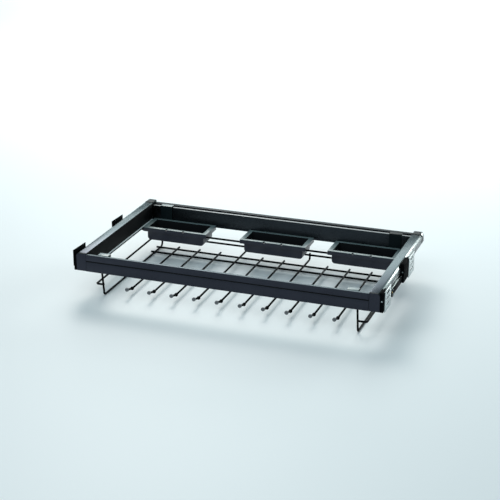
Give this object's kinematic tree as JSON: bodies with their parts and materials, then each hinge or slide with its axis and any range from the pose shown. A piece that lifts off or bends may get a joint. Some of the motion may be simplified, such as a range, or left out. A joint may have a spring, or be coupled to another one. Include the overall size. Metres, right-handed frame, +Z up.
{
  "type": "pull out trouser rack",
  "caption": "Pull out trouser rack for a wardrobe: dark aluminium frame on soft close slides, a hanging black wire grid of ball-ended trouser rods and loose black trays at the rear.",
  "frame": {"origin": "centre of the whole rack's box, on the plane that the wire grid stands on", "axes": "+Z up, +X to the right seen from the front, and the rack pulls out towards -Y"},
  "size_m": [0.864, 0.48, 0.1347],
  "materials": {
    "anodised_aluminium": "dark anodised",
    "black_wire": "gloss black coating",
    "rod_tip_plastic": "soft grey-black",
    "black_plastic": "satin black",
    "zinc_steel": "bright zinc"
  },
  "bodies": {
    "cabinet_side": {"left_cabinet_member": "zinc_steel", "right_cabinet_member": "zinc_steel", "left_front_bracket": "black_plastic", "left_rear_bracket": "black_plastic", "right_front_bracket": "black_plastic", "right_rear_bracket": "black_plastic", "left_front_plate": "zinc_steel", "left_rear_plate": "zinc_steel", "right_front_plate": "zinc_steel", "right_rear_plate": "zinc_steel", "left_soft_close_damper": "black_plastic", "right_soft_close_damper": "black_plastic"},
    "rack": {"front_rail": "anodised_aluminium", "rear_rail": "anodised_aluminium", "left_side_rail": "anodised_aluminium", "right_side_rail": "anodised_aluminium", "left_front_cap": "anodised_aluminium", "right_front_cap": "anodised_aluminium", "left_side_wire": "black_wire", "right_side_wire": "black_wire", "left_outer_wire": "black_wire", "right_outer_wire": "black_wire", "front_cross_wire": "black_wire", "rear_cross_wire": "black_wire", "grid_rear_wire": "black_wire", "tray_wire": "black_wire", "trouser_rod_1": "black_wire", "trouser_rod_2": "black_wire", "trouser_rod_3": "black_wire", "trouser_rod_4": "black_wire", "trouser_rod_5": "black_wire", "trouser_rod_6": "black_wire", "trouser_rod_7": "black_wire", "trouser_rod_8": "black_wire", "trouser_rod_9": "black_wire", "trouser_rod_10": "black_wire", "rod_tip_1": "rod_tip_plastic", "rod_tip_2": "rod_tip_plastic", "rod_tip_3": "rod_tip_plastic", "rod_tip_4": "rod_tip_plastic", "rod_tip_5": "rod_tip_plastic", "rod_tip_6": "rod_tip_plastic", "rod_tip_7": "rod_tip_plastic", "rod_tip_8": "rod_tip_plastic", "rod_tip_9": "rod_tip_plastic", "rod_tip_10": "rod_tip_plastic", "left_rear_cap": "black_plastic", "right_rear_cap": "black_plastic", "left_front_clip": "black_plastic", "right_front_clip": "black_plastic", "left_rear_clip": "black_plastic", "right_rear_clip": "black_plastic", "left_drawer_member": "zinc_steel", "right_drawer_member": "zinc_steel"},
    "left_middle": {"left_middle_member": "zinc_steel"},
    "right_middle": {"right_middle_member": "zinc_steel"},
    "left_tray": {"left_tray": "black_plastic"},
    "middle_tray": {"middle_tray": "black_plastic"},
    "right_tray": {"right_tray": "black_plastic"}
  },
  "joints": [
    {"name": "rack_slide", "type": "slide", "parent": "cabinet_side", "child": "rack", "axis": [0, -1, 0], "range_m": [0, 0.4]},
    {"name": "left_middle_slide", "type": "slide", "parent": "cabinet_side", "child": "left_middle", "axis": [0, -1, 0], "range_m": [0, 0.2]},
    {"name": "right_middle_slide", "type": "slide", "parent": "cabinet_side", "child": "right_middle", "axis": [0, -1, 0], "range_m": [0, 0.2]},
    {"name": "left_tray_lift", "type": "slide", "parent": "rack", "child": "left_tray", "axis": [0, 0, 1], "range_m": [0, 0.1]},
    {"name": "middle_tray_lift", "type": "slide", "parent": "rack", "child": "middle_tray", "axis": [0, 0, 1], "range_m": [0, 0.1]},
    {"name": "right_tray_lift", "type": "slide", "parent": "rack", "child": "right_tray", "axis": [0, 0, 1], "range_m": [0, 0.1]}
  ],
  "couplings": [
    {"joint": "left_middle_slide", "follows": "rack_slide", "ratio": 0.5},
    {"joint": "right_middle_slide", "follows": "rack_slide", "ratio": 0.5}
  ]
}
